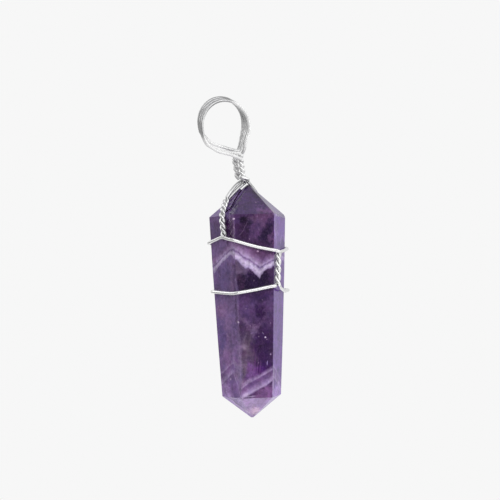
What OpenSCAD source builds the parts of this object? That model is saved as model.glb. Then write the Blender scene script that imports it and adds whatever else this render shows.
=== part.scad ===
// Crystal point pendant: a six-sided double-ended stone held in a cage of twisted round wire,
// hanging from a bail of three wire turns.
// Millimetres, +Z up along the stone. The origin is where a chain bears inside the top of the bail.

/* [Stone] */
// Width over two opposite edges at the shoulder
shoulder_w = 14.8; // [13:0.1:17]
// Width over two opposite edges half way down the body
waist_w = 13.4; // [12:0.1:16]
// Width over two opposite edges at the foot of the body
foot_w = 11.4; // [9:0.1:13]
// Length of the body between its shoulder and its foot
body_l = 34.4; // [28:0.2:44]
// Height of the upper point
crown_l = 6.2; // [5:0.1:8]
// Height of the lower point
foot_l = 4.1; // [3:0.1:6]
// How much higher the front side's shoulder is than the others
front_rise = 0.4; // [0:0.05:0.6]
// How much lower the front side's foot is than the others
front_drop = 0.3; // [0:0.05:0.5]
// Height ground off each point to blunt it
blunt = 0.2; // [0.1:0.05:0.4]
// Turn of the stone about its own length, in degrees
stone_turn = -14; // [-20:1:-8]
// How far the stone's middle hangs beside the middle of the bail
stone_side = 4.6; // [4:0.1:5.2]
// Thickness of the rough ledge left on the crown
ledge_t = 0.4; // [0.2:0.05:0.6]

/* [Wire] */
// Diameter of the round wire
wire_d = 0.6; // [0.5:0.05:0.7]
// Clearance between a wire and what it lies on
skin = 0.03; // [0.02:0.01:0.06]

/* [Bail] */
// Clear width inside the bail
bail_d = 9.1; // [8:0.1:12]
// How much higher each turn of the bail sits than the turn in front of it
bail_rise = 0.45; // [0.3:0.05:0.6]
// How much smaller each turn of the bail is than the turn in front of it
bail_step_d = 0.18; // [0.1:0.02:0.26]

/* [Neck] */
// Height between the middle of the bail and the top of the neck
neck_drop = 6.75; // [6.5:0.05:7.5]
// Length of the twisted neck
neck_l = 4.15; // [3.8:0.05:5]
// How far the neck's foot lies beside the stone's middle
neck_side_w = 0.73; // [0.6:0.01:0.9]
// Rise of the neck's foot above the stone's point
neck_rise = 0.5; // [0.4:0.05:0.8]
// How far the neck leans over from its foot to its top
neck_lean_w = 0.55; // [0.4:0.05:0.7]
// Turns of the neck's two strands
neck_turns = 2; // [1:1:3]
// Length of the twisted tail behind the neck
tail_l = 3.9; // [3:0.1:4.2]
// Turns of the tail's two strands
tail_turns = 1.5; // [1:0.25:2]

/* [Cage] */
// Turns in the twist over the shoulder of the stone
shoulder_turns = 3.25; // [2.25:1:4.25]
// Turns in the riser between the two bands
riser_turns = 2; // [1:1:3]

/* [Hidden] */

// Smoothness of the wires: sides of a wire, steps in a bend and in a full turn of a twist
wire_sides = 8;
bend_steps = 4;
twist_steps = 12;
arc_step = 15;
// How far before a corner a wire starts to bend, and how far it runs on from a twist
bend_l = 0.7;
lead_l = 0.35;

wire_r = wire_d / 2;
strand_r = (wire_d + skin) / 2;
twist_r = strand_r + wire_r;

bail_r = (bail_d + wire_d) / 2;
bail_z = -bail_d / 2;
turn_gap = wire_d + skin;

front_dir = [0, -1, 0];
// How far the neck's top and foot stand in front of the stone's middle
top_out_w = 0.29;
foot_out_w = 0.11;
neck_top = [stone_side - neck_side_w - neck_lean_w, -top_out_w, bail_z - neck_drop];
neck_foot = [stone_side - neck_side_w, -foot_out_w, bail_z - neck_drop - neck_l];
apex_z = neck_foot[2] - neck_rise;
shoulder_z = apex_z - crown_l;
waist_z = shoulder_z - body_l / 2;
foot_z = shoulder_z - body_l;

// Share that is ground off each side of the stone, from the back right side round by the back
ground_off = [0.000, 0.010, 0.000, 0.000, 0.055, 0.000];
// How far the upper point stands off the stone's middle, as shares of the shoulder's width
point_off = [0.018, -0.004];
apex = [stone_side + shoulder_w * point_off[0], shoulder_w * point_off[1], apex_z];
foot_point = [stone_side, 0, foot_z - foot_l];

// Outline of the ledge on the left crown facet: share across the facet and share up it
ledge_side = 3;
ledge_outline = [[0.02, 0.34], [0.55, 0.11], [0.73, 0.20], [0.64, 0.53], [0.56, 0.80], [0.02, 0.80]];

// Ways of the wires on the stone. Station counts the stone's edges round from the right one,
// drop is a share of the body's length below the shoulder, lift is in wire diameters off the face.
shoulder_foot = [3.66, 0.105, 0.06];
shoulder_bend = [3.64, 0.010, 0.28];
riser_foot = [5.08, 0.379];
riser_top = [5.125, 0.210];
upper_front = [
  [3.80, 0.122, 0.8],
  [3.97, 0.129, 0.3],
  [4.29, 0.153, 0.05],
  [4.58, 0.172, 0.1],
  [4.93, 0.189, 0.2],
  [5.05, 0.195, 0.9],
];
upper_back = [
  [5.36, 0.200, 0.0],
  [5.70, 0.194, 0.2],
  [6.00, 0.183, 0.35],
  [6.35, 0.176, 0.85],
  [6.62, 0.172, 1.2],
  [6.88, 0.170, 0.85],
  [7.00, 0.168, 0.3],
  [7.50, 0.163, 0.1],
  [8.00, 0.158, 0.25],
  [8.50, 0.151, 0.1],
  [9.00, 0.143, 0.3],
  [9.25, 0.128, 0.1],
  [9.48, 0.113, 0.0],
];
lower_band = [
  [5.24, 0.398, 0.8],
  [5.64, 0.418, 0.7],
  [6.00, 0.414, 0.85],
  [6.50, 0.410, 0.4],
  [7.00, 0.406, 0.3],
  [7.50, 0.408, 0.1],
  [8.00, 0.410, 0.3],
  [8.50, 0.410, 0.1],
  [9.00, 0.411, 0.25],
  [9.42, 0.418, 0.05],
  [9.86, 0.423, 0.15],
  [10.02, 0.420, 0.15],
  [10.50, 0.405, 0.05],
  [10.75, 0.394, 0.15],
  [10.97, 0.385, 0.5],
];

// Way of the twist over the shoulder: station, share up the crown and lift, above its foot on the side
shoulder_way = [[3.62, 0.03, 1.62], [3.56, 0.16, 1.85], [3.34, 0.39, 1.78]];
// Ways of the two legs from that twist to the neck's foot: share of the way, and how far they bow out
// of it, in shares of the crown's height. The lower one goes on behind the foot and round to its front.
upper_leg = [[0.30, [-0.045, 0, 0.045]], [0.65, [-0.035, 0, 0.045]]];
lower_leg = [[0.30, [0, 0.01, -0.01]], [0.70, [0, 0.05, -0.03]], [1.00, [-0.055, 0.085, -0.105]]];

// Ways of the bail's wires near the neck, as shares of the bail's radius from its middle,
// with the depth counted in turns: side, depth, height
low_left = [[0.30, -0.15, -1.17], [-0.32, 0, -1.03], [-0.76, 0, -0.76]];
second_left = [[0.34, -0.2, -1.12], [-0.32, 0, -1.03], [-0.76, 0, -0.78]];
inner_corner = [[0.79, 0, -0.78], [0.70, 0.35, -1.06], [0.50, 0.55, -1.03], [-0.50, 0.9, -0.74]];
front_end = [[0.90, -1, -0.66], [0.885, -0.2, -0.98], [0.85, 1.1, -1.17], [0.72, 1.95, -1.29]];
rear_end = [[0.77, 1.1, -0.80], [0.73, 1.8, -1.04], [0.56, 1.5, -1.20]];
tail_top = [0.565, 1.6, -1.36];
tail_foot = [0.70, 1.63, -2.16];
bail_from = 200;
bail_to = -20;

// Way of the back wire round the neck's foot: angle round it and height above it in wire diameters
neck_hook = [[205, 1.25], [240, 1.15], [275, 0.95], [310, 0.65], [345, 0.4], [375, 0.1]];
// and over the crown on the back right side: station, share up the crown and lift in wire diameters
back_slope = [[0.45, 0.82, 0], [0.52, 0.66, 0], [0.60, 0.30, 0.05], [0.615, 0.03, 0.2]];
back_hook_at = 0.62;

// Plain helpers
function mix(a, b, t) = a + (b - a) * t;
function unit(v) = v / norm(v);
function reversed(p) = [for (i = [len(p) - 1 : -1 : 0]) p[i]];
function inner(p) = [for (i = [1 : len(p) - 2]) p[i]];
function heading(p, i) = unit(p[min(i + 1, len(p) - 1)] - p[max(i - 1, 0)]);

// Sides of the stone: direction, distance from the middle and corners, each off by a distance
function side_of(station) = floor(station) % 6;
function side_angle(side) = stone_turn + 60 * side + 30;
function side_dir(side) = [cos(side_angle(side)), sin(side_angle(side))];
function apothem(side, width) = width / 2 * cos(30) * (1 - ground_off[side % 6]);
function width_at(drop) =
  drop < body_l / 2
    ? mix(shoulder_w, waist_w, 2 * drop / body_l)
    : mix(waist_w, foot_w, 2 * drop / body_l - 1);
function corner(k, width, off) =
  let (
    a = side_dir(k + 5), b = side_dir(k),
    p = apothem(k + 5, width) + off, q = apothem(k, width) + off,
    spread = sin(60)
  )
  [stone_side + (p * b[1] - q * a[1]) / spread, (a[0] * q - b[0] * p) / spread];

// A wire's middle on a side of the stone, and a point off a crown facet
function off_side(station, drop, off) =
  let (
    k = floor(station),
    width = width_at(drop),
    p = mix(corner(k, width, off), corner(k + 1, width, off), station - k)
  )
  [p[0], p[1], shoulder_z - drop];
function on_side(row) = off_side(row[0], row[1] * body_l, wire_r + skin + row[2] * wire_d);
function crown_reach(side) = apothem(side, shoulder_w) - shoulder_w * point_off * side_dir(side);
function crown_tilt(side) = atan(crown_reach(side) / crown_l);
function crown_dir(side) =
  let (d = side_dir(side) * cos(crown_tilt(side))) [d[0], d[1], sin(crown_tilt(side))];
function off_crown(station, climb, off) =
  mix(off_side(station, 0, 0), apex, climb) + off * crown_dir(side_of(station));

// A line of points with every inner corner rounded
function rounded(p) = [
  p[0],
  for (i = [1 : len(p) - 2])
    let (
      back = p[i - 1] - p[i], on = p[i + 1] - p[i],
      cut = min(bend_l, 0.48 * norm(back), 0.48 * norm(on)),
      a = p[i] + cut * unit(back), b = p[i] + cut * unit(on)
    )
    for (s = [0 : bend_steps])
      let (t = s / bend_steps) (1 - t) * (1 - t) * a + 2 * t * (1 - t) * p[i] + t * t * b,
  p[len(p) - 1],
];

// Length run along a line at each of its points, and the point at a given run
function runs(p) = [for (i = 0, s = 0; i < len(p); i = i + 1, s = i < len(p) ? s + norm(p[i] - p[i - 1]) : s) s];
function at_run(p, run, s) =
  let (i = len([for (k = [1 : len(p) - 2]) if (run[k] < s) k]))
  mix(p[i], p[i + 1], (s - run[i]) / (run[i + 1] - run[i]));

// One strand wound left-handed about a line: length of a turn, turns, and where it starts
// in degrees round from the facing direction
function strand(line, facing, pitch, turns, start) =
  let (run = runs(line), steps = ceil(turns * twist_steps))
  [for (i = [0 : steps])
    let (
      s = pitch * turns * i / steps,
      ahead = unit(at_run(line, run, s + wire_r) - at_run(line, run, s - wire_r)),
      front = unit(facing - (facing * ahead) * ahead),
      turn = start - 360 * turns * i / steps
    )
    at_run(line, run, s) + strand_r * (cos(turn) * front + sin(turn) * cross(ahead, front))];
function line_length(p) = runs(p)[len(p) - 1];

// Points that carry a wire on from the end of one run, by a few places, into the start of the next
function link(from, by, to) =
  let (last = len(from) - 1)
  inner(rounded(concat(
    [from[last], from[last] + lead_l * heading(from, last)],
    by,
    [to[0] - lead_l * heading(to, 0), to[0]]
  )));

// A round wire swept along a line of points, with flat ends
module wire(p) {
  start = heading(p, 0);
  first = unit(cross(start, abs(start[2]) < 0.9 ? [0, 0, 1] : [1, 0, 0]));
  count = len(p);
  across = [
    for (i = 0, n = first; i < count; i = i + 1, n = i < count ? unit(n - (n * heading(p, i)) * heading(p, i)) : n) n
  ];
  rings = [
    for (i = [0 : count - 1])
      let (up = cross(heading(p, i), across[i]))
      for (k = [0 : wire_sides - 1])
        let (a = 360 * k / wire_sides) p[i] + wire_r * (cos(a) * across[i] + sin(a) * up)
  ];
  skin_faces = [
    for (i = [0 : count - 2])
      for (k = [0 : wire_sides - 1])
        let (a = i * wire_sides + k, b = i * wire_sides + (k + 1) % wire_sides)
        [a, a + wire_sides, b + wire_sides, b]
  ];
  start_face = [for (k = [0 : wire_sides - 1]) k];
  end_face = [for (k = [wire_sides - 1 : -1 : 0]) (count - 1) * wire_sides + k];
  polyhedron(rings, concat([start_face, end_face], skin_faces), convexity = 10);
}

// The neck's two strands, from foot to top. The second starts some part of a turn lower than the first,
// and the first runs on half a turn higher.
early = 1 / 6;
neck_line = [neck_foot, neck_top];
neck_pitch = line_length(neck_line) / (neck_turns + early);
late_line = [mix(neck_foot, neck_top, early / (neck_turns + early)), neck_top];
neck_one = strand(late_line, front_dir, neck_pitch, neck_turns + 0.5, 180);
neck_two = strand(neck_line, front_dir, neck_pitch, neck_turns + early, 360 * early);

// The two strands over the shoulder, from foot to top
shoulder_dir = concat(side_dir(ledge_side), [0]);
shoulder_line = rounded(concat(
  [
    for (row = [shoulder_foot, shoulder_bend])
      off_side(row[0], row[1] * body_l, twist_r + 2 * skin + row[2] * wire_d)
  ],
  [for (row = shoulder_way) off_crown(row[0], row[1], row[2] * wire_d)]
));
shoulder_pitch = line_length(shoulder_line) / shoulder_turns;
shoulder_one = strand(shoulder_line, shoulder_dir, shoulder_pitch, shoulder_turns, 0);
shoulder_two = strand(shoulder_line, shoulder_dir, shoulder_pitch, shoulder_turns, 180);

// The two strands of the riser, from foot to top
riser_line = [
  for (end = [riser_foot, riser_top]) off_side(end[0], end[1] * body_l, twist_r + 2 * skin)
];
riser_dir = concat(side_dir(side_of(riser_foot[0])), [0]);
riser_pitch = line_length(riser_line) / riser_turns;
riser_one = strand(riser_line, riser_dir, riser_pitch, riser_turns, 0);
riser_two = strand(riser_line, riser_dir, riser_pitch, riser_turns, 180);

// Places of a leg between the top of the shoulder twist and the neck
function leg(from, to, way) =
  [for (row = way) mix(from[len(from) - 1], to[0], row[0]) + crown_l * row[1]];

cage_route = concat(
  reversed(neck_two),
  reversed(link(shoulder_one, leg(shoulder_one, neck_two, lower_leg), neck_two)),
  reversed(shoulder_one),
  link(reversed(shoulder_one), [for (row = upper_front) on_side(row)], reversed(riser_one)),
  reversed(riser_one),
  link(reversed(riser_one), [for (row = lower_band) on_side(row)], riser_two),
  riser_two,
  link(riser_two, [for (row = upper_back) on_side(row)], shoulder_two),
  shoulder_two,
  link(shoulder_two, leg(shoulder_two, neck_one, upper_leg), neck_one),
  neck_one
);

// A place on one turn of the bail, and a place near the neck
function on_turn(angle, k) =
  let (r = bail_r - k * bail_step_d)
  [r * cos(angle) - k * bail_step_d, k * turn_gap, bail_z + k * bail_rise + r * sin(angle)];
function by_bail(row) = [row[0] * bail_r, row[1] * turn_gap, bail_z + row[2] * bail_r];
function by_turn(row, k) = by_bail(row) + [0, k * turn_gap, k * bail_rise / 2];
function cut_end(p) = p[len(p) - 1] + skin * heading(p, len(p) - 1);
function turn_arc(k) = [for (a = [bail_from : -arc_step : bail_to]) on_turn(a, k)];

tail_line = [by_bail(tail_top), by_bail(tail_foot)];
tail_run = tail_l * unit(tail_line[1] - tail_line[0]);
tail_way = [tail_line[0], tail_line[0] + tail_run];
tail_one = strand(tail_way, front_dir, tail_l / tail_turns, tail_turns, 180);
tail_two = strand(tail_way, front_dir, tail_l / tail_turns, tail_turns, 0);

front_arc = turn_arc(-1);
middle_arc = turn_arc(0);
rear_arc = turn_arc(1);
front_route = concat(
  [cut_end(neck_two)],
  link(neck_two, [for (row = low_left) by_turn(row, -1)], front_arc),
  front_arc,
  link(front_arc, [for (row = front_end) by_bail(row)], tail_one),
  tail_one
);
double_route = concat(
  [cut_end(neck_one)],
  link(neck_one, [for (row = second_left) by_turn(row, 0)], middle_arc),
  middle_arc,
  link(middle_arc, [for (row = inner_corner) by_bail(row)], rear_arc),
  rear_arc,
  link(rear_arc, [for (row = rear_end) by_bail(row)], tail_two),
  tail_two
);

// The back wire: hooked round the neck's foot, over the back right slope, hooked round the upper band
function round_neck(row) =
  let (reach = twist_r + wire_r + 3 * skin)
  mix(neck_foot, neck_top, row[1] * wire_d / neck_l) + reach * [cos(row[0]), sin(row[0]), 0];
band_row = [for (row = upper_back) if (row[0] == 6 + back_hook_at) row][0];
band_drop = band_row[1] * body_l;
band_off = wire_r + skin + band_row[2] * wire_d;
hook_r = wire_d + 2 * skin;
back_route = rounded(concat(
  [for (row = neck_hook) round_neck(row)],
  [for (row = back_slope) off_crown(row[0], row[1], wire_r + skin + row[2] * wire_d)],
  [
    off_side(back_hook_at, 0, wire_r + 4 * skin),
    off_side(back_hook_at, band_drop + hook_r, wire_r + skin),
    off_side(back_hook_at, band_drop + hook_r, band_off + hook_r),
    off_side(back_hook_at, band_drop - hook_r, band_off + hook_r),
  ]
));

// Rings of the stone's corners from foot to top, and the facets between them. The front side's corners
// stand at a height of their own.
front_corner = 4;
function corner_at(k, z) = concat(corner(k, width_at(shoulder_z - z), 0), [z]);
function corner_ring(z, front_z) = [for (k = [0 : 5]) corner_at(k, k < front_corner ? z : front_z)];
function near_point(ring, point) = [for (p = ring) mix(point, p, blunt / abs(point[2] - p[2]))];

module faceted_stone() {
  foot_ring = corner_ring(foot_z + front_drop, foot_z);
  shoulder_ring = corner_ring(shoulder_z, shoulder_z + front_rise);
  rings = concat(
    near_point(foot_ring, foot_point),
    foot_ring,
    corner_ring(waist_z, waist_z),
    shoulder_ring,
    near_point(shoulder_ring, apex)
  );
  last = len(rings) - 6;
  facets = [
    for (i = [0 : 6 : last - 1])
      for (k = [0 : 5])
        let (a = i + k, b = i + (k + 1) % 6) [a, a + 6, b + 6, b]
  ];
  foot_facet = [for (k = [0 : 5]) k];
  top_facet = [for (k = [5 : -1 : 0]) last + k];
  polyhedron(rings, concat([foot_facet, top_facet], facets), convexity = 2);
}

// The rough ledge, standing on its crown facet
module ledge() {
  facet_w = norm(corner(ledge_side + 1, shoulder_w, 0) - corner(ledge_side, shoulder_w, 0));
  facet_l = norm([crown_reach(ledge_side), crown_l]);
  middle = mix(corner(ledge_side, shoulder_w, 0), corner(ledge_side + 1, shoulder_w, 0), 0.5);
  outline = [for (p = ledge_outline) [(p[0] - 0.5) * facet_w * (1 - p[1]), p[1] * facet_l]];
  translate([middle[0], middle[1], shoulder_z])
    rotate([0, 0, side_angle(ledge_side)])
      rotate([0, -crown_tilt(ledge_side), 0])
        translate([-ledge_t, 0, 0])
          rotate([90, 0, 90])
            linear_extrude(2 * ledge_t)
              polygon(outline);
}

module crystal_point() {
  color([0.33, 0.22, 0.45]) {
    faceted_stone();
    ledge();
  }
}

module cage_wire() {
  color("silver") wire(cage_route);
}

module bail_wire() {
  color("silver") {
    wire(front_route);
    wire(double_route);
  }
}

module back_wire() {
  color("silver") wire(back_route);
}

crystal_point();
cage_wire();
bail_wire();
back_wire();
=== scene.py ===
import math

import bmesh
import bpy
from mathutils import Euler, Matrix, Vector


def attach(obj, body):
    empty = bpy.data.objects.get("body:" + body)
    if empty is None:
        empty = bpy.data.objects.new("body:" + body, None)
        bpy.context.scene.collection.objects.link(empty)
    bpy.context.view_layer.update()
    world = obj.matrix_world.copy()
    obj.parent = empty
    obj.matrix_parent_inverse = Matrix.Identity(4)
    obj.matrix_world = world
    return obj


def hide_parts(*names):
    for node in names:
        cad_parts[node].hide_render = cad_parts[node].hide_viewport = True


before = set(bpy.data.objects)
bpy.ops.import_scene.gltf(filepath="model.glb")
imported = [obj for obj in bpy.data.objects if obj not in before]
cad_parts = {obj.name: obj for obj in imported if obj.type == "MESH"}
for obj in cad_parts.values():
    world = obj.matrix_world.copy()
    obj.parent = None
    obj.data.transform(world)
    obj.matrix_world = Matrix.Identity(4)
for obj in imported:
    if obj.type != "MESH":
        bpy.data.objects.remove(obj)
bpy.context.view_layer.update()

# Camera
# The pendant is seen level, from a little to the left of its front, from half a metre away.
# It hangs with its top leaning slightly to the left in the picture.
VIEW_TURN = math.radians(-26)
VIEW_ROLL = math.radians(1.42)
VIEW_MIDDLE = Vector((0.004032, -0.001965, -0.028551))
VIEW_DISTANCE = 0.5
PICTURE_WIDTH = 0.095
SENSOR_WIDTH = 36

towards_camera = Vector((math.sin(VIEW_TURN), -math.cos(VIEW_TURN), 0))
camera_data = bpy.data.cameras.new("camera")
camera_data.sensor_width = SENSOR_WIDTH
camera_data.lens = SENSOR_WIDTH * VIEW_DISTANCE / PICTURE_WIDTH
camera_data.clip_start = 0.01
camera_data.clip_end = 10
camera = bpy.data.objects.new("camera", camera_data)
camera.location = VIEW_MIDDLE + towards_camera * VIEW_DISTANCE
camera.rotation_euler = (math.radians(90), VIEW_ROLL, VIEW_TURN)
bpy.context.scene.collection.objects.link(camera)
bpy.context.scene.camera = camera
bpy.context.scene.view_settings.view_transform = "Standard"

# Studio
# A pale floor well below the hanging pendant, which curves up into a pale wall all round.
# It is evenly bright, as a light table is, so the pendant stands on plain near-white.
SWEEP_STEPS = 48
PALE = (0.93, 0.93, 0.93, 1)
# Outline of floor and wall: distance from the pendant's axis and height, in metres
SWEEP_PROFILE = [
    (0.0, -0.42), (0.8, -0.42), (1.02, -0.39), (1.17, -0.30), (1.25, -0.15), (1.27, 0.0),
    (1.27, 0.9), (1.15, 1.2), (0.8, 1.4), (0.0, 1.45),
]


def studio_piece(name, shape, colour):
    """A backdrop that glows evenly in its own colour."""
    mesh = bpy.data.meshes.new(name)
    shape.to_mesh(mesh)
    shape.free()
    piece = bpy.data.objects.new(name, mesh)
    bpy.context.scene.collection.objects.link(piece)
    glow = bpy.data.materials.new(name)
    glow.use_nodes = True
    glow.node_tree.nodes.clear()
    light = glow.node_tree.nodes.new("ShaderNodeEmission")
    light.inputs["Color"].default_value = colour
    out = glow.node_tree.nodes.new("ShaderNodeOutputMaterial")
    glow.node_tree.links.new(light.outputs[0], out.inputs["Surface"])
    glow.cycles.emission_sampling = "NONE"
    mesh.materials.append(glow)
    for face in mesh.polygons:
        face.use_smooth = True
    return piece


sweep = bmesh.new()
rim = [sweep.verts.new((r, 0, z)) for r, z in SWEEP_PROFILE]
rim_edges = [sweep.edges.new((a, b)) for a, b in zip(rim, rim[1:])]
bmesh.ops.spin(
    sweep, geom=rim + rim_edges, cent=(0, 0, 0), axis=(0, 0, 1), dvec=(0, 0, 0),
    angle=2 * math.pi, steps=SWEEP_STEPS, use_merge=True)
bmesh.ops.remove_doubles(sweep, verts=sweep.verts, dist=1e-5)
bmesh.ops.recalc_face_normals(sweep, faces=sweep.faces)
bmesh.ops.reverse_faces(sweep, faces=sweep.faces)
sweep_piece = studio_piece("floor_and_wall", sweep, PALE)
for seen_by in ("visible_diffuse", "visible_glossy", "visible_transmission", "visible_shadow"):
    setattr(sweep_piece, seen_by, False)

# The light round the pendant: bright behind it, overhead and below, grey at its sides and a little
# darker in front. Each row is a direction, where its light starts and is full, and what it adds.
SIDE_GREY = 0.30
ROOM_LIGHT = [
    (-towards_camera, 0.15, 0.75, 0.42),
    (Vector((0, 0, 1)), 0.65, 0.95, 0.50),
    (Vector((0, 0, -1)), 0.35, 0.90, 0.50),
    (towards_camera, 0.60, 0.90, -0.08),
]
surround = bpy.data.worlds.new("surround")
surround.use_nodes = True
room = surround.node_tree
backdrop = room.nodes["Background"]
looking = room.nodes.new("ShaderNodeTexCoord")
light_sum = None
for direction, start, full, strength in ROOM_LIGHT:
    facing = room.nodes.new("ShaderNodeVectorMath")
    facing.operation = "DOT_PRODUCT"
    facing.inputs[1].default_value = direction
    room.links.new(looking.outputs["Generated"], facing.inputs[0])
    share = room.nodes.new("ShaderNodeMapRange")
    share.interpolation_type = "SMOOTHSTEP"
    for key, value in zip((1, 2, 3, 4), (start, full, 0.0, strength)):
        share.inputs[key].default_value = value
    room.links.new(facing.outputs["Value"], share.inputs[0])
    total = room.nodes.new("ShaderNodeMath")
    room.links.new(share.outputs[0], total.inputs[0])
    if light_sum is None:
        total.inputs[1].default_value = SIDE_GREY
    else:
        room.links.new(light_sum, total.inputs[1])
    light_sum = total.outputs[0]
backdrop.inputs["Color"].default_value = (1, 1, 1, 1)
room.links.new(light_sum, backdrop.inputs["Strength"])
bpy.context.scene.world = surround

# Four soft boxes: over the camera, high on its left, beside it on its right, and below it
SOFT_BOX_AWAY = 0.6


def soft_box(name, turn, rise, size, brightness):
    """turn and rise are degrees to the camera's left and above it, measured at the pendant."""
    flat = towards_camera.copy()
    flat.rotate(Euler((0, 0, math.radians(-turn))))
    way = flat * math.cos(math.radians(rise)) + Vector((0, 0, math.sin(math.radians(rise))))
    data = bpy.data.lights.new(name, "AREA")
    data.shape = "RECTANGLE"
    data.size, data.size_y = size
    data.energy = brightness * size[0] * size[1] * math.pi
    light = bpy.data.objects.new(name, data)
    light.location = VIEW_MIDDLE + way * SOFT_BOX_AWAY
    light.rotation_euler = (-way).to_track_quat("-Z", "Y").to_euler()
    light.visible_camera = False
    bpy.context.scene.collection.objects.link(light)


soft_box("soft_box_above", -25, 37, (0.60, 0.54), 1.35)
soft_box("soft_box_left", 96, 40, (0.50, 0.56), 1.2)
soft_box("soft_box_right", -72, 8, (0.84, 0.56), 1.1)
soft_box("soft_box_below", -25, -38, (0.60, 0.40), 0.8)

# Crystal point
# One piece of chevron amethyst, sawn and ground to six long sides with a six-sided point at each
# end, then tumbled and polished, which leaves its edges slightly round. A rough step is left on
# the left facet of the upper point.
STONE_MIDDLE = (0.0046, 0, 0)
# Heights in millimetres where the sides meet the points and where they change their slope. The
# front side runs a little further up and down than the others. A corner within NEAR of a height
# counts as on it, and one more than CLEAR above it as away from it.
SHOULDER_Z = -22.15
WAIST_Z = -39.35
FOOT_Z = -56.25
FRONT_RISE = 0.4
FRONT_DROP = 0.3
CROWN_Z = SHOULDER_Z + FRONT_RISE
NEAR = 0.05
CLEAR = 0.2
# How far to each side of it an edge is rounded off, in metres: a trace at the step, far at the waist
STEP_EDGE = 0.00005
WAIST_EDGE = 0.007
RIGHT_SHOULDER_EDGE = 0.00045
CROWN_EDGE = 0.00006
SIDE_EDGE = 0.00014
# Faces that turn less than this between them are one facet
FLAT_TURN = math.radians(0.3)
# What tells the rounded edges from others: the turn across them, their length and where they are
EDGE_TURN = math.radians(14)
SHOULDER_TURN = 0.5
SHORTEST_EDGE = 0.0012
RIGHT_OF_X = 0.0065
STEP_WALL_SLOPE = 0.6
# Corners of a plain model that are nearer than this, in metres, are one corner
SAME_CORNER = 2e-6


def copy_of_node(source):
    shape = bmesh.new()
    shape.from_mesh(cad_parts[source].data)
    bmesh.ops.remove_doubles(shape, verts=shape.verts, dist=SAME_CORNER)
    return shape


def finished_piece(name, shape, finishes, slot, *stands_for):
    """Turns a shape into a piece that takes the place of the plain nodes that it stands for."""
    mesh = bpy.data.meshes.new(name)
    bmesh.ops.recalc_face_normals(shape, faces=shape.faces)
    shape.to_mesh(mesh)
    shape.free()
    for face in mesh.polygons:
        face.use_smooth = True
    for finish in finishes:
        mesh.materials.append(finish)
    piece = bpy.data.objects.new(name, mesh)
    bpy.context.scene.collection.objects.link(piece)
    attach(piece, "root")
    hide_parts(*stands_for)
    return piece


def round_edges(shape, edges, width, segments):
    bmesh.ops.bevel(
        shape, geom=edges, offset=width, offset_type="OFFSET", segments=segments, profile=0.5,
        affect="EDGES", clamp_overlap=True, material=-1)


def turn_at(edge):
    """How far the surface turns across an edge, in radians."""
    return edge.calc_face_angle(0) if edge.is_manifold else 0


def heights(edge):
    return [v.co.z * 1000 for v in edge.verts]


def runs_level(edge, z, within):
    return all(abs(end - z) < within for end in heights(edge))


stone = copy_of_node("crystal_point")
bmesh.ops.dissolve_limit(
    stone, angle_limit=FLAT_TURN, use_dissolve_boundaries=False, verts=stone.verts, edges=stone.edges)
stone.normal_update()

# The walls of the rough step are the only faces of the upper point that don't slope as its facets do
for face in stone.faces:
    on_point = face.calc_center_median().z * 1000 > CROWN_Z + NEAR
    face.material_index = 1 if on_point and face.normal.z < STEP_WALL_SLOPE else 0
step_edges = [e for e in stone.edges if any(f.material_index == 1 for f in e.link_faces)]
round_edges(stone, step_edges, STEP_EDGE, segments=1)
waist = [e for e in stone.edges if runs_level(e, WAIST_Z, NEAR)]
round_edges(stone, waist, WAIST_EDGE, segments=6)
right_shoulder = [
    e for e in stone.edges
    if runs_level(e, SHOULDER_Z, FRONT_RISE + NEAR)
    and all(v.co.x > RIGHT_OF_X for v in e.verts) and turn_at(e) > SHOULDER_TURN]
round_edges(stone, right_shoulder, RIGHT_SHOULDER_EDGE, segments=4)
for above_shoulder, width in ((True, CROWN_EDGE), (False, SIDE_EDGE)):
    sharp = [
        e for e in stone.edges
        if turn_at(e) > EDGE_TURN and all(f.material_index == 0 for f in e.link_faces)
        and e.calc_length() > SHORTEST_EDGE and (max(heights(e)) > CROWN_Z + CLEAR) == above_shoulder]
    round_edges(stone, sharp, width, segments=3)


def add(kind, feeds=(), **settings):
    """A shader node in the material that is being made, fed with values or with other nodes' outputs."""
    made = recipe.nodes.new("ShaderNode" + kind)
    for key, value in settings.items():
        setattr(made, key, value)
    for key, value in dict(feeds).items():
        if isinstance(value, bpy.types.NodeSocket):
            recipe.links.new(value, made.inputs[key])
        else:
            made.inputs[key].default_value = value
    return made


def sums(operation, *values):
    return add("Math", enumerate(values), operation=operation).outputs[0]


def spread(value, low, high, from_start, to_end, kind="LINEAR"):
    """value from low to high, turned into from_start to to_end and held there."""
    made = add(
        "MapRange", {0: value, 1: low, 2: high, 3: from_start, 4: to_end}, interpolation_type=kind)
    return made.outputs[0]


def lay_over(share, under, over, how="MIX"):
    """The colour over laid on the colour under, by a share from 0 to 1."""
    made = add("Mix", data_type="RGBA", blend_type=how)
    for name, value in (("Factor_Float", share), ("A_Color", under), ("B_Color", over)):
        socket = next(s for s in made.inputs if s.identifier == name)
        if isinstance(value, bpy.types.NodeSocket):
            recipe.links.new(value, socket)
        else:
            socket.default_value = value
    return next(s for s in made.outputs if s.identifier == "Result_Color")


def shade(red, green, blue):
    """A colour as a painter reads it off, 0 to 255, turned into the light it stands for."""
    light = [((c / 255 + 0.055) / 1.055) ** 2.4 if c > 10 else c / 3295 for c in (red, green, blue)]
    return (*light, 1)


def new_finish(name):
    """Starts a material. Everything that add makes after this goes into it."""
    global recipe, place
    finish = bpy.data.materials.new(name)
    finish.use_nodes = True
    recipe = finish.node_tree
    recipe.nodes.clear()
    place = add("TexCoord").outputs["Object"]
    return finish


def put_on(shader):
    recipe.links.new(shader.outputs[0], add("OutputMaterial").inputs["Surface"])


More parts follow.
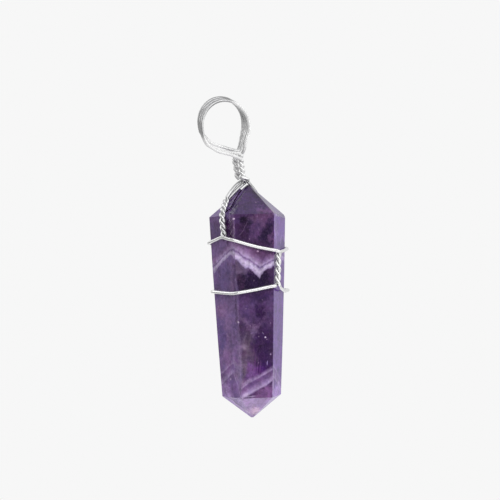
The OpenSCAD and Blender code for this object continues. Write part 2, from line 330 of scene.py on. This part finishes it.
# Places on the stone: how far round it, as a share from the seam at its back, and how high, in
# millimetres. GIRTH turns the share into millimetres.
SEAM_TURN = math.radians(-74)
GIRTH = 42.0
QUARTZ_IOR = 1.54
amethyst = new_finish("polished_amethyst")
centred = add("SeparateXYZ", {0: add(
    "Mapping", {"Vector": place, "Location": STONE_MIDDLE, "Rotation": (0, 0, SEAM_TURN)},
    vector_type="TEXTURE").outputs[0]}).outputs
around = sums("ADD", sums("DIVIDE", sums("ARCTAN2", centred[1], centred[0]), 2 * math.pi), 0.5)
height = sums("MULTIPLY", centred[2], 1000)


def grain(scale, detail=2.0, roughness=0.5, stretch=None):
    """scale is spots to the metre, and stretch squeezes or draws them out along each axis."""
    source = place
    if stretch:
        source = add("Mapping", {"Vector": place, "Scale": stretch}).outputs[0]
    return add("TexNoise", {"Vector": source, "Scale": scale, "Detail": detail, "Roughness": roughness})


def level(noise, channel=None):
    """The noise as a value between about -0.3 and 0.3, from its grey or from one of its colours."""
    value = noise.outputs["Fac"]
    if channel is not None:
        value = add("SeparateColor", {0: noise.outputs["Color"]}).outputs[channel]
    return sums("SUBTRACT", value, 0.5)


# The slow wander of the veils and the raggedness of their rims
wander = grain(300, 2, 0.5)
ragged = grain(1500, 4, 0.65)


def spread_out(far, fine):
    """Millimetres round and up the stone, pushed about by so many millimetres of wander and raggedness."""
    across = sums("ADD", sums("MULTIPLY", level(wander, 0), far), sums("MULTIPLY", level(ragged, 0), fine))
    along = sums("ADD", sums("MULTIPLY", level(wander, 1), far), sums("MULTIPLY", level(ragged, 1), fine))
    return add("CombineXYZ", {
        0: sums("ADD", sums("MULTIPLY", around, GIRTH), across), 1: sums("ADD", height, along)}).outputs[0]


drifting = spread_out(far=4.5, fine=3.0)
steady = spread_out(far=0.6, fine=0.4)

# Tone of each side, of the six facets of the upper point and of those of the lower one, listed
# round from the back left side by the left, front, right, back right and back. The tones are partly
# the stone's own colour and partly painted light: the lighter left and right sides and facets stand
# for painted reflections of the bright room, and the pale lower point for painted light through the stone
EDGE_AT = [0.0, 0.1667, 0.3255, 0.5078, 0.6667, 0.8333]
CROWN_EDGE_AT = [0.0, 0.1667, 0.2880, 0.5250, 0.6667, 0.8333]
SIDE_TONE = [(120, 92, 150), (131, 103, 155), (76, 48, 94), (107, 65, 150), (104, 74, 140), (112, 84, 142)]
CROWN_TONE = [(112, 86, 146), (128, 104, 156), (66, 38, 92), (90, 53, 132), (110, 78, 150), (112, 84, 144)]
FOOT_TONE = [
    (168, 138, 200), (178, 148, 208), (184, 156, 206), (166, 132, 208), (160, 130, 200), (164, 134, 200)]


def tones_round(name, edges, tones, soft):
    """One tone after another round the stone. soft is how much of the way round a change takes."""
    ramp = add("ValToRGB", {0: around}, label=name)
    stops = ramp.color_ramp.elements
    stops[0].color = shade(*tones[0])
    stops[1].color = shade(*tones[-1])
    for k in range(1, len(tones)):
        before = stops.new(edges[k] - soft)
        before.color = shade(*tones[k - 1])
        after = stops.new(edges[k] + soft)
        after.color = shade(*tones[k])
    return ramp.outputs[0]


# Lines round the stone are given as rows of place round it and height, which lies between these two
LINES_FROM, LINES_TO = -60.0, -20.0


def line_round(name, rows):
    """The height of such a line at each place round the stone, straight from row to row."""
    curve = add("FloatCurve", {1: around}, label=name)
    points = curve.mapping.curves[0].points
    while len(points) < len(rows):
        points.new(0.5, 0.5)
    for point, (at, z) in zip(points, rows):
        point.location = (at, (z - LINES_FROM) / (LINES_TO - LINES_FROM))
        point.handle_type = "VECTOR"
    curve.mapping.update()
    return spread(curve.outputs[0], 0, 1, LINES_FROM, LINES_TO)


def edge_line(name, z, front_z):
    """Where the sides meet the facets of a point: level at the back, off that level on the front side."""
    # Where the left, front, right and back right side begin
    left, front, right, back = EDGE_AT[1:5]
    return line_round(name, [(0.0, z), (left, z), (front, front_z), (right, front_z), (back, z), (1.0, z)])


over_shoulder = sums("SUBTRACT", height, edge_line("shoulder", SHOULDER_Z, CROWN_Z))
over_foot = sums("SUBTRACT", height, edge_line("foot", FOOT_Z, FOOT_Z - FRONT_DROP))
on_crown = spread(over_shoulder, -NEAR, NEAR, 0, 1)
on_foot = spread(over_foot, NEAR, -NEAR, 0, 1)
look = tones_round("sides", EDGE_AT, SIDE_TONE, soft=0.003)
look = lay_over(on_crown, look, tones_round("upper point", CROWN_EDGE_AT, CROWN_TONE, soft=0.014))
look = lay_over(on_foot, look, tones_round("lower point", EDGE_AT, FOOT_TONE, soft=0.004))

# The inside of the stone as it shows through each side, and one painted shadow beside the rough step.
# Columns: place round the stone, height, half width and half height in millimetres, tilt in degrees,
# colour, strength, softness of rim
CLOUDS = {
    "back left": [
        (0.080, -38.0, 3.0, 6.0, 0, (88, 60, 120), 0.7, 1.2),
        (0.100, -26.0, 2.0, 2.4, 0, (66, 34, 88), 0.7, 1.0),
    ],
    "left": [
        (0.200, -24.4, 1.7, 2.6, 0, (104, 84, 124), 0.8, 1.0),
        (0.284, -24.2, 1.1, 2.0, 0, (58, 14, 72), 0.95, 0.7),
        (0.305, -25.0, 0.8, 2.2, 0, (76, 38, 90), 0.8, 1.0),
        (0.240, -34.0, 2.6, 3.0, 0, (108, 86, 138), 0.75, 1.2),
        (0.302, -31.4, 1.0, 1.0, 0, (110, 84, 118), 0.6, 1.2),
        (0.302, -35.4, 1.0, 1.8, 0, (136, 104, 140), 0.4, 1.4),
        (0.321, -37.0, 0.5, 8.0, 0, (88, 62, 108), 0.8, 0.9),
        (0.3225, -23.6, 0.3, 2.8, 0, (48, 28, 56), 0.8, 0.8),
        (0.196, -44.9, 1.3, 4.0, 0, (102, 82, 142), 0.75, 1.2),
        (0.210, -39.9, 1.6, 1.2, 0, (158, 118, 168), 0.6, 1.4),
        (0.250, -43.6, 1.4, 1.6, 0, (152, 116, 168), 0.6, 1.4),
        (0.240, -48.6, 2.6, 1.6, 12, (164, 126, 182), 0.70, 1.2),
        (0.262, -54.3, 2.3, 1.4, 0, (142, 108, 170), 0.85, 0.8),
        (0.306, -51.2, 0.75, 2.9, 8, (150, 126, 166), 0.75, 0.9),
        (0.200, -55.6, 2.4, 1.5, 0, (200, 166, 226), 0.85, 1.2),
    ],
    "front": [
        (0.352, -23.2, 1.0, 1.3, 0, (44, 18, 58), 0.85, 0.9),
        (0.378, -22.95, 1.9, 1.0, 0, (26, 2, 40), 0.95, 0.7),
        (0.358, -25.1, 1.7, 1.5, 0, (54, 26, 66), 0.85, 1.0),
        (0.403, -23.1, 0.8, 0.8, 0, (54, 38, 76), 0.8, 1.0),
        (0.450, -22.6, 2.3, 1.0, 0, (112, 78, 120), 0.80, 1.2),
        (0.426, -25.3, 1.1, 1.5, 0, (96, 64, 112), 0.75, 1.3),
        (0.480, -25.6, 1.0, 1.8, 0, (36, 12, 58), 0.9, 1.2),
        (0.501, -27.3, 0.4, 1.3, 0, (104, 68, 112), 0.8, 1.0),
        (0.410, -27.2, 2.6, 0.8, -14, (56, 24, 68), 0.8, 1.2),
        (0.425, -29.0, 3.4, 1.3, -16, (114, 76, 120), 0.85, 0.9),
        (0.345, -31.6, 1.7, 1.9, -20, (112, 90, 122), 0.85, 0.9),
        (0.412, -34.5, 3.9, 1.6, 0, (30, 4, 52), 0.96, 0.7),
        (0.338, -34.2, 0.9, 0.7, -30, (84, 50, 86), 0.6, 1.2),
        (0.420, -37.2, 3.4, 1.3, 0, (58, 31, 81), 0.75, 1.2),
        (0.375, -39.6, 2.4, 1.8, 0, (98, 70, 120), 0.7, 1.4),
        (0.439, -40.7, 0.8, 2.0, 4, (46, 8, 68), 0.85, 1.0),
        (0.485, -39.8, 1.1, 2.6, 0, (100, 72, 122), 0.65, 1.4),
        (0.366, -42.3, 2.3, 0.6, -38, (128, 100, 142), 0.65, 1.7),
        (0.436, -42.5, 1.9, 0.5, 46, (122, 94, 138), 0.60, 1.7),
        (0.405, -43.6, 1.2, 0.9, 0, (140, 112, 154), 0.75, 1.7),
        (0.352, -43.9, 1.2, 1.6, 0, (58, 32, 72), 0.85, 1.1),
        (0.459, -47.2, 2.1, 4.8, 0, (56, 24, 78), 0.92, 1.2),
        (0.357, -47.0, 1.4, 3.4, 4, (104, 82, 108), 0.75, 1.5),
        (0.338, -51.6, 0.8, 2.6, 6, (118, 98, 122), 0.85, 1.3),
        (0.454, -50.3, 1.3, 1.2, 0, (60, 18, 96), 0.85, 1.1),
        (0.423, -51.4, 1.7, 1.1, 12, (92, 40, 116), 0.85, 1.5),
        (0.388, -52.0, 1.3, 2.2, 14, (136, 92, 158), 0.85, 1.6),
        (0.350, -54.3, 0.9, 1.1, 0, (150, 118, 158), 0.75, 1.5),
        (0.465, -55.6, 2.8, 1.4, 20, (138, 94, 150), 0.9, 1.0),
    ],
    "right": [
        (0.530, -24.4, 1.0, 2.2, 0, (152, 116, 186), 0.8, 1.2),
        (0.626, -28.0, 2.2, 0.7, 0, (52, 14, 100), 0.7, 0.9),
        (0.600, -55.6, 3.4, 1.6, 0, (170, 134, 206), 0.9, 1.0),
    ],
    "back right": [
        (0.745, -36.0, 2.4, 5.0, 0, (74, 42, 104), 0.8, 1.1),
        (0.740, -47.0, 1.8, 4.0, 6, (118, 92, 134), 0.6, 1.2),
    ],
    "back": [
        (0.930, -44.0, 2.2, 6.0, -4, (74, 40, 102), 0.8, 1.1),
        (0.900, -25.0, 2.6, 1.8, 0, (58, 26, 78), 0.8, 0.9),
    ],
    "upper point": [
        (0.475, -21.1, 2.1, 0.9, 0, (116, 76, 130), 0.8, 1.4),
        (0.550, -17.7, 3.2, 1.8, 0, (30, 12, 46), 0.95, 1.2),
        (0.600, -20.2, 2.4, 1.0, 0, (92, 58, 136), 0.5, 1.4),
        # Painted shadow: the dark line under the edge of the rough step
        (0.309, -20.0, 0.55, 2.4, 7, (36, 0, 74), 0.8, 1.0),
        (0.262, -17.4, 1.5, 1.6, 0, (160, 134, 186), 0.7, 1.3),
    ],
    "lower point": [
        (0.250, -57.1, 2.6, 0.30, -22, (124, 92, 156), 0.9, 1.0),
        (0.430, -59.7, 3.4, 0.9, 0, (236, 208, 234), 0.8, 1.5),
        (0.300, -59.4, 2.4, 0.8, 0, (208, 180, 224), 0.6, 1.2),
    ],
}
# Healed cracks, scratches and bright grains, and painted highlights along the edge between the left and the
# front side, in the same columns
MARKS = [
    (0.345, -45.8, 1.8, 0.22, 64, (124, 104, 130), 0.45, 1.2),
    (0.372, -46.6, 2.2, 0.22, 74, (122, 102, 126), 0.45, 1.2),
    (0.400, -48.6, 2.6, 0.20, 84, (100, 72, 108), 0.45, 1.2),
    (0.349, -46.9, 0.6, 0.5, 20, (160, 136, 162), 0.55, 1.4),
    (0.407, -50.2, 0.16, 1.9, -3, (116, 66, 136), 0.5, 1.4),
    (0.424, -50.6, 0.15, 1.6, -4, (132, 84, 150), 0.45, 1.4),
    (0.438, -50.9, 0.16, 1.3, -4, (122, 72, 142), 0.45, 1.4),
    (0.415, -51.2, 0.14, 1.2, -3, (60, 20, 88), 0.45, 1.4),
    (0.431, -51.0, 0.14, 1.1, -4, (60, 20, 88), 0.45, 1.4),
    (0.4700, -45.15, 0.17, 0.15, 0, (226, 206, 238), 0.9, 0.9),
    (0.4585, -44.35, 0.12, 0.26, 24, (160, 136, 180), 0.55, 1.0),
    (0.497, -48.4, 0.16, 0.14, 0, (178, 150, 196), 0.9, 0.8),
    (0.480, -49.9, 0.45, 0.12, 84, (158, 132, 186), 0.9, 0.8),
    (0.437, -28.8, 0.18, 0.18, 0, (214, 176, 214), 0.9, 0.8),
    (0.412, -30.0, 0.12, 0.12, 0, (190, 150, 192), 0.7, 0.8),
    (0.325, -42.1, 0.18, 0.18, 0, (200, 182, 202), 0.9, 0.8),
    (0.248, -52.9, 0.26, 0.20, 0, (198, 172, 208), 0.8, 0.8),
    (0.200, -53.8, 0.14, 0.14, 0, (190, 160, 200), 0.6, 0.8),
    # The next four rows are painted highlights: a dotted light line along the rounded left-front edge below
    # the shoulder
    (0.3220, -22.6, 0.22, 0.22, 0, (222, 202, 228), 0.95, 0.7),
    (0.3215, -24.7, 0.15, 1.8, 0, (146, 122, 158), 0.6, 1.2),
    (0.3220, -24.3, 0.14, 0.20, 0, (178, 154, 186), 0.6, 1.1),
    (0.3205, -25.7, 0.12, 0.18, 0, (170, 146, 178), 0.5, 1.1),
    (0.300, -22.9, 0.16, 0.12, 0, (180, 152, 190), 0.7, 0.9),
    (0.292, -24.0, 0.9, 0.09, 62, (150, 116, 160), 0.55, 1.0),
    (0.306, -25.2, 1.0, 0.09, 48, (146, 112, 156), 0.50, 1.0),
    (0.287, -25.6, 0.6, 0.09, 70, (150, 120, 162), 0.55, 1.0),
    (0.352, -25.3, 0.8, 0.08, 50, (128, 98, 136), 0.40, 1.2),
    (0.372, -24.0, 1.0, 0.08, 58, (126, 96, 134), 0.45, 1.0),
    (0.392, -26.4, 0.16, 0.14, 0, (150, 120, 158), 0.6, 0.9),
    (0.440, -24.6, 0.16, 0.5, 20, (126, 96, 140), 0.5, 1.2),
    # The next two rows are a painted highlight: a faint light line down the same rounded edge
    (0.326, -38.0, 0.24, 5.0, 0, (144, 120, 164), 0.40, 1.2),
    (0.325, -50.0, 0.40, 5.6, 0, (154, 132, 172), 0.55, 1.2),
    (0.516, -54.0, 0.35, 2.6, 0, (186, 158, 212), 0.7, 1.2),
    (0.361, -53.5, 1.0, 0.35, 22, (184, 156, 200), 0.7, 1.3),
    (0.350, -55.95, 0.8, 0.35, 24, (212, 188, 226), 0.65, 1.2),
    (0.612, -26.8, 1.2, 0.14, 68, (174, 144, 210), 0.6, 1.0),
    (0.660, -26.5, 0.8, 0.14, -66, (174, 144, 210), 0.6, 1.0),
    (0.300, -19.8, 0.08, 2.0, 20, (130, 108, 150), 0.25, 1.2),
    (0.350, -56.3, 2.4, 0.16, 3, (196, 172, 214), 0.6, 1.0),
    (0.200, -56.2, 1.6, 0.14, 8, (196, 168, 220), 0.6, 1.0),
]

# How much of the way round a change takes where it goes over an edge of the stone
FACET_SOFT = 0.0008
VEIL_SOFT = 0.001


def cloud(under, where, at, z, half_width, half_height, tilt, colour, strength, rim):
    """One oval with a soft rim laid over the look, from a row of the lists above."""
    whole = 1 + rim / 2
    inside = add("Mapping", {
        "Vector": where, "Location": (at * GIRTH, z, 0), "Rotation": (0, 0, math.radians(tilt)),
        "Scale": (half_width * whole, half_height * whole, 1)}, vector_type="TEXTURE").outputs[0]
    depth = add("TexGradient", {"Vector": inside}, gradient_type="SPHERICAL").outputs["Fac"]
    return lay_over(spread(depth, 0, rim / whole, 0, strength, "SMOOTHSTEP"), under, shade(*colour))


def past_edge(k, soft, before, after):
    """before up to edge k of the stone and after from there on."""
    return spread(around, EDGE_AT[k] - soft, EDGE_AT[k] + soft, before, after)


def seen_through(facet):
    """1 on the facet that is named and 0 on the others, with a clean change at its edges."""
    if facet == "upper point":
        return on_crown
    if facet == "lower point":
        return on_foot
    first = list(CLOUDS).index(facet)
    mask = sums("SUBTRACT", sums("SUBTRACT", 1.0, on_crown), on_foot)
    if first > 0:
        mask = sums("MULTIPLY", mask, past_edge(first, FACET_SOFT, 0, 1))
    if first + 1 < len(EDGE_AT):
        mask = sums("MULTIPLY", mask, past_edge(first + 1, FACET_SOFT, 1, 0))
    return mask


for facet, rows in CLOUDS.items():
    mask = seen_through(facet)
    inside_look = look
    for row in rows:
        inside_look = cloud(inside_look, drifting, *row)
    look = lay_over(mask, look, inside_look)

# The two chevrons: lighter bands that zigzag round the stone, each with a top and a bottom line.
# A line is rows of place round the stone and height.
UPPER_TOP = [
    (0.000, -28.9), (0.085, -27.6), (0.165, -30.7), (0.235, -28.9), (0.312, -27.1), (0.325, -27.3),
    (0.455, -30.9), (0.501, -29.8), (0.510, -29.6), (0.649, -28.7), (0.740, -31.0), (0.850, -27.4),
    (1.000, -28.9)]
UPPER_BOTTOM = [
    (0.000, -31.2), (0.085, -29.8), (0.173, -32.8), (0.204, -31.65), (0.227, -30.9), (0.300, -29.4),
    (0.315, -29.9), (0.330, -30.2), (0.354, -31.6), (0.371, -32.0), (0.382, -31.8), (0.441, -33.9),
    (0.465, -32.7), (0.490, -32.1), (0.510, -31.6), (0.649, -30.6), (0.740, -33.4), (0.850, -29.6),
    (1.000, -31.2)]
LOWER_TOP = [
    (0.000, -52.4), (0.085, -53.6), (0.177, -51.7), (0.218, -50.8), (0.250, -50.2), (0.280, -49.6),
    (0.289, -51.8), (0.303, -53.2), (0.320, -55.2), (0.327, -54.5), (0.364, -53.35), (0.440, -52.35),
    (0.474, -51.8), (0.503, -51.2), (0.518, -50.6), (0.662, -53.7), (0.760, -51.0), (0.880, -54.4),
    (1.000, -52.4)]
LOWER_BOTTOM = [
    (0.000, -54.2), (0.085, -55.4), (0.175, -54.0), (0.199, -53.2), (0.238, -52.3), (0.270, -51.7),
    (0.286, -53.0), (0.301, -54.0), (0.318, -56.4), (0.328, -56.9), (0.342, -56.25), (0.398, -55.4),
    (0.466, -54.4), (0.505, -53.4), (0.518, -52.6), (0.662, -55.5), (0.760, -52.8), (0.880, -56.2),
    (1.000, -54.2)]
# They show in full on the front side, and this much before it and past it
SHOWS_BEFORE = 0.78
SHOWS_PAST = 0.45
# How far they wander up and down, in millimetres
CHEVRON_WANDER = 0.6
# Where a chevron's colours start and end, as shares of the way from its bottom line to its top line
COLOURS_FROM, COLOURS_TO = -0.5, 1.5


def chevron(under, name, top, bottom, raggedness, across):
    """across gives place from the bottom line to the top line, colour and strength."""
    drift = sums(
        "ADD", sums("MULTIPLY", level(ragged), raggedness), sums("MULTIPLY", level(wander), CHEVRON_WANDER))
    ragged_height = sums("ADD", height, drift)
    low = line_round(name + " bottom", bottom)
    high = line_round(name + " top", top)
    share = sums("DIVIDE", sums("SUBTRACT", ragged_height, low), sums("SUBTRACT", high, low))
    ramp = add("ValToRGB", {0: spread(share, COLOURS_FROM, COLOURS_TO, 0, 1)}, label=name)
    stops = ramp.color_ramp.elements
    while len(stops) < len(across):
        stops.new(0.5)
    for stop, (at, colour, strength) in zip(stops, across):
        stop.position = (at - COLOURS_FROM) / (COLOURS_TO - COLOURS_FROM)
        stop.color = shade(*colour)[:3] + (strength,)
    strong = sums(
        "MINIMUM", past_edge(2, VEIL_SOFT, SHOWS_BEFORE, 1.0), past_edge(3, VEIL_SOFT, 1.0, SHOWS_PAST))
    return lay_over(sums("MULTIPLY", ramp.outputs["Alpha"], strong), under, ramp.outputs["Color"])


look = chevron(look, "upper chevron", UPPER_TOP, UPPER_BOTTOM, raggedness=0.9, across=[
    (-0.08, (150, 128, 176), 0.0), (0.06, (194, 174, 216), 0.88), (0.30, (224, 208, 240), 0.96),
    (0.44, (200, 180, 220), 0.92), (0.55, (142, 114, 168), 0.85), (0.68, (198, 174, 216), 0.88),
    (0.95, (170, 136, 184), 0.72), (1.45, (128, 90, 140), 0.0)])
look = chevron(look, "lower chevron", LOWER_TOP, LOWER_BOTTOM, raggedness=0.4, across=[
    (-0.10, (150, 118, 178), 0.0), (0.06, (192, 168, 212), 0.90), (0.22, (182, 154, 204), 0.88),
    (0.42, (160, 128, 180), 0.82), (0.66, (136, 100, 156), 0.75), (0.84, (132, 96, 154), 0.72),
    (0.97, (188, 160, 208), 0.80), (1.30, (152, 112, 174), 0.0)])
for row in MARKS:
    look = cloud(look, steady, *row)

# Cloudiness all through the stone: soft blotches, fine mottling, streaks along its length, pinker
# and bluer parts, a few pale specks and fine dust, and a painted shadow of the neck wire at the very top
PINKER = shade(150, 84, 138)
BLUER = shade(92, 104, 150)
TINT_SPAN = 0.14
TINTED = 0.30
BLOTCHY, MOTTLED, STREAKY = 1.1, 1.5, 0.5
# Painted shadow that the neck wire casts on the very top of the stone, between these heights in millimetres
NECK_SHADOW = shade(40, 30, 50)
NECK_SHADOW_FROM, NECK_SHADOW_TO = -16.9, -16.2
NECK_SHADOW_DARK = 0.9
SPECK = shade(180, 148, 186)
SPECK_CELLS = 1300.0
SPECK_STRONG = 0.4
DUST = shade(150, 124, 162)
DUST_STRONG = 0.13
DUST_PAST = 0.2
blotches = level(grain(480, 3, 0.55))
mottling = level(grain(1700, 4, 0.7))
streaks = level(grain(1100, 2, 0.5, (1, 1, 0.12)))
tint = level(grain(700, 3, 0.6))
look = lay_over(spread(tint, 0.0, TINT_SPAN, 0, TINTED), look, PINKER, "SOFT_LIGHT")
look = lay_over(spread(tint, 0.0, -TINT_SPAN, 0, TINTED), look, BLUER, "SOFT_LIGHT")
# The painted shadow of the neck wire over the tip of the upper point
look = lay_over(spread(height, NECK_SHADOW_FROM, NECK_SHADOW_TO, 0, NECK_SHADOW_DARK), look, NECK_SHADOW)
fine = sums("ADD", sums("MULTIPLY", mottling, MOTTLED), sums("MULTIPLY", streaks, STREAKY))
unevenness = sums("ADD", sums("MULTIPLY", blotches, BLOTCHY), fine)
look = add("VectorMath", {0: look, "Scale": sums("ADD", unevenness, 1.0)}, operation="SCALE").outputs[0]
cells = add("TexVoronoi", {"Vector": place, "Scale": SPECK_CELLS})
# About one cell in ten has a speck
chosen = spread(add("SeparateColor", {0: cells.outputs["Color"]}).outputs[0], 0.88, 0.92, 0, 1)
speck = spread(cells.outputs["Distance"], 0.26, 0.10, 0, SPECK_STRONG)
look = lay_over(sums("MULTIPLY", chosen, speck), look, SPECK)
dust = spread(level(grain(4600, 2, 0.6, (1, 1, 0.5))), 0.02, 0.20, 0, DUST_STRONG)
look = lay_over(sums("MULTIPLY", dust, past_edge(3, VEIL_SOFT, 1.0, DUST_PAST)), look, DUST)

# Polished, with the faint waviness and the fine lines that the wheel leaves
wave = grain(180, 1, 0.4)
wheel = grain(3200, 2, 0.6, (1, 1, 0.2))
waviness = add("Bump", {"Height": wave.outputs["Fac"], "Strength": 0.5, "Distance": 0.00006})
polish = add("Bump", {
    "Height": wheel.outputs["Fac"], "Strength": 0.25, "Distance": 0.00001, "Normal": waviness.outputs[0]})
put_on(add("BsdfPrincipled", {
    "Base Color": look, "Roughness": spread(mottling, -0.2, 0.2, 0.06, 0.14), "IOR": QUARTZ_IOR,
    "Normal": polish.outputs[0]}))

# The walls of the rough step: broken stone and dull, painted dark all over as the shadow under the step's
# edge, with the darkest painted shade in its pits
SHADE_IN_PITS = (0.35, (22, 8, 30))
SHADE_ON_SPLINTERS = (0.70, (64, 38, 78))
shadowed_rough_amethyst = new_finish("step_shade_amethyst")
splinters = grain(2400, 4, 0.7)
step_shade = add("ValToRGB", {0: splinters.outputs["Fac"]})
for stop, (at, tone) in zip(step_shade.color_ramp.elements, (SHADE_IN_PITS, SHADE_ON_SPLINTERS)):
    stop.position = at
    stop.color = shade(*tone)
crumble = add("Bump", {"Height": splinters.outputs["Fac"], "Strength": 0.7, "Distance": 0.00015})
put_on(add("BsdfPrincipled", {
    "Base Color": step_shade.outputs[0], "Roughness": 0.55, "IOR": QUARTZ_IOR, "Specular IOR Level": 0.1,
    "Normal": crumble.outputs[0]}))

crystal = finished_piece("crystal", stone, [amethyst, shadowed_rough_amethyst], "amethyst", "crystal_point")
even = crystal.modifiers.new("even_shading", "WEIGHTED_NORMAL")
even.weight = 80
even.keep_sharp = False

# Cage wire
# Round silver-plated copper wire, hard enough to keep its bends: two strands twisted over the
# shoulder, one band round the stone, a twisted riser and a second band, then up into the neck.
# Plate colours: on the bail the share of bright plate is painted light and shade, and the grooves get
# painted shade
BRIGHT_PLATE = shade(250, 250, 250)
DULL_PLATE = shade(172, 172, 173)
GROOVE_SHADE = shade(66, 64, 68)
# Heights in metres: from neck to legs, from legs to the twist over the shoulder, from that to the band
NECK_END, LEGS_START = -0.0150, -0.0156
LEGS_END, TWIST_START, GROOVE_SHADE_START = -0.0186, -0.0198, -0.0194
TWIST_END, BAND_START = -0.0256, -0.0262
LEGS_BRIGHT = 0.1
TWIST_BRIGHT = 0.65
TARNISH = 0.9
# Painted shade in the grooves is darkest where a spot sees this little of what is round it, and gone where
# it sees this much
GROOVE_DEEP, GROOVE_OPEN = 0.25, 0.55
MOST_GROOVE_SHADE = 0.85
GROOVE_WIDTH = 0.0005
# Put on all round the eight-sided wire before it is rounded off, which makes it thinner
WIRE_SWELL = 0.00005
# Two triangles of the plain wire make one face if they are about flat and the face is about square
FLAT_PAIR = math.radians(40)
SQUARE_PAIR = math.radians(60)


def wire_finish(name, brightness, satin, painted_shade=None):
    """brightness gives the share of bright plate as a socket; the rest is dull and grey. Bright plate
    scatters some light, satin of it, as well as reflecting it. painted_shade gives the share of painted
    shade in the grooves."""
    metal = new_finish(name)
    dents = grain(500, 1, 0.4)
    drawn = add("Bump", {"Height": dents.outputs["Fac"], "Strength": 0.10, "Distance": 0.00012})
    tarnish = level(grain(380, 3, 0.6))
    bright_share = brightness()
    plate = lay_over(sums("ADD", bright_share, sums("MULTIPLY", tarnish, TARNISH)), DULL_PLATE, BRIGHT_PLATE)
    # Painted shade in the grooves, where it is given
    if painted_shade:
        plate = lay_over(painted_shade(), plate, GROOVE_SHADE)
    put_on(add("BsdfPrincipled", {
        "Base Color": plate, "Metallic": sums("SUBTRACT", 1.0, sums("MULTIPLY", bright_share, satin)),
        "Roughness": spread(tarnish, -0.2, 0.2, 0.30, 0.22), "Normal": drawn.outputs[0]}))
    return metal


def cage_brightness():
    """Bright on the neck, the bands and the riser, duller over the shoulder and dull on the legs."""
    z = add("SeparateXYZ", {0: place}).outputs[2]
    legs = spread(z, NECK_END, LEGS_START, 1.0, LEGS_BRIGHT)
    twist = spread(z, LEGS_END, TWIST_START, 0, TWIST_BRIGHT)
    return sums("MAXIMUM", legs, sums("MAXIMUM", twist, spread(z, TWIST_END, BAND_START, 0, 1.0)))


def groove_painted_shade():
    """Painted shade in the grooves of the twists below the legs, darkest where a spot sees little round it.
    """
    z = add("SeparateXYZ", {0: place}).outputs[2]
    open_to_air = add("AmbientOcclusion", {"Distance": GROOVE_WIDTH}, samples=8).outputs["AO"]
    grooves = spread(open_to_air, GROOVE_DEEP, GROOVE_OPEN, MOST_GROOVE_SHADE, 0)
    return sums("MULTIPLY", grooves, spread(z, LEGS_END, GROOVE_SHADE_START, 0, 1))


silver = wire_finish("silver_plated_wire", cage_brightness, satin=0.2, painted_shade=groove_painted_shade)


def wire_piece(name, node, finish):
    """A node's eight-sided wire, made round."""
    wire = copy_of_node(node)
    bmesh.ops.join_triangles(
        wire, faces=wire.faces, angle_face_threshold=FLAT_PAIR, angle_shape_threshold=SQUARE_PAIR)
    bmesh.ops.recalc_face_normals(wire, faces=wire.faces)
    wire.normal_update()
    for v in wire.verts:
        v.co += v.normal * WIRE_SWELL
    piece = finished_piece(name, wire, [finish], "silver_wire", node)
    round_off = piece.modifiers.new("round_off", "SUBSURF")
    round_off.levels = round_off.render_levels = 1


wire_piece("cage", "cage_wire", silver)

# Bail
# The same wire wound three times round a rod for the chain to run through. Its two ends come
# down behind the neck, twisted together and cut off.
UPPER_LEFT_SLOPE = 1.3


def bail_painted_light():
    """Painted light and shade: bright on the front turn and along its lower left as painted highlights,
    fair on the tail and down the sides, and dull on the turns behind and at the upper left as painted
    shade, where the front turn and the light from the right leave them in shade. All places are in metres."""
    x, y, z = add("SeparateXYZ", {0: place}).outputs
    lean = sums("SUBTRACT", z, sums("MULTIPLY", x, UPPER_LEFT_SLOPE))
    front = sums(
        "MULTIPLY", spread(y, 0.0001, -0.0006, 0, 1), spread(lean, -0.0012, -0.0040, 0, 1, "SMOOTHSTEP"))
    low_left = sums("MULTIPLY", spread(x, 0.0015, -0.0005, 0, 1), spread(z, -0.0055, -0.0080, 0, 1))
    sides = sums("ADD", spread(z, -0.0012, -0.0045, 0, 0.35), spread(lean, -0.0050, -0.0080, 0, 0.25))
    tail = spread(z, -0.0103, -0.0108, 0, 0.75)
    return sums("MAXIMUM", sums("MAXIMUM", front, low_left), sums("MAXIMUM", sides, tail))


# The bail's plate carries painted light and shade: lit on the front turn, shaded on the turns behind
bail_silver_painted_light = wire_finish("bail_silver_painted_light_wire", bail_painted_light, satin=0.85)
wire_piece("bail", "bail_wire", bail_silver_painted_light)

# Back wire
# A second, plain piece of the same plated wire, which holds the cage to the neck from behind. It is
# hooked round the foot of the neck, lies on the back slope and is hooked over the upper band.
wire_piece("back_stay", "back_wire", silver)
